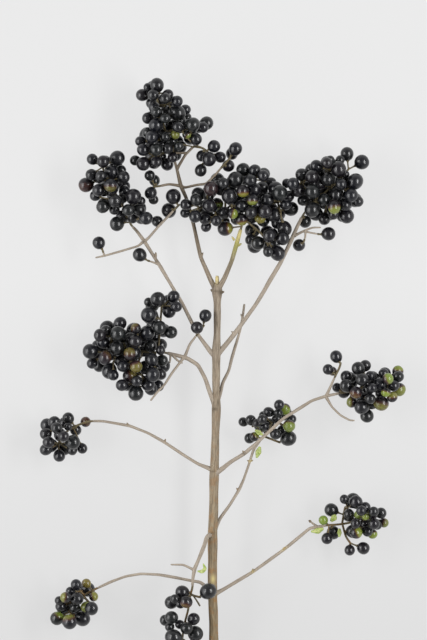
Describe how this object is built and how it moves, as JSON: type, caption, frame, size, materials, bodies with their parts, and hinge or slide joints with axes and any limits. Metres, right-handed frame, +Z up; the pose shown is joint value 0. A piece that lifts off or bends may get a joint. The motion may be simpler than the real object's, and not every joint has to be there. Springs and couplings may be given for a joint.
{
  "type": "privet berry sprig",
  "caption": "Cut woody sprig with opposite side branches that end in bunches of small glossy black berries, lying on a surface.",
  "frame": {"origin": "middle of the box round the sprig, at the height of the surface that it lies on", "axes": "+Y along the stem towards its tip, +X to the right as the camera sees it, +Z up from the surface towards the camera"},
  "size_m": [0.2015, 0.3367, 0.0353],
  "materials": {
    "bark": "smooth taupe grey-brown bark with small pale pores and swollen nodes",
    "berry": "glossy near-black berry skin, a few berries partly green or reddish",
    "bract": "soft yellow-green leaf"
  },
  "bodies": {
    "root": {"berry_left_low": "berry", "berry_left_thin": "berry", "berry_right_inner": "berry", "berry_right_outer": "berry", "bract_foot_curled": "bract", "bract_lower_down": "bract", "bract_lower_fork": "bract", "bract_lower_long": "bract", "bract_under_folded": "bract", "bract_under_hanging": "bract", "bunch_centre": "berry", "bunch_foot": "berry", "bunch_left_inner": "berry", "bunch_left_lower": "berry", "bunch_left_middle": "berry", "bunch_left_small": "berry", "bunch_left_upper": "berry", "bunch_right_lower": "berry", "bunch_right_middle": "berry", "bunch_right_upper": "berry", "bunch_top": "berry", "bunch_top_fork": "berry", "bunch_under": "berry", "pair_left_fork": "berry", "pair_left_middle": "berry", "trio_right_middle": "berry", "trio_top": "berry", "woody_stem": "bark"}
  },
  "joints": []
}
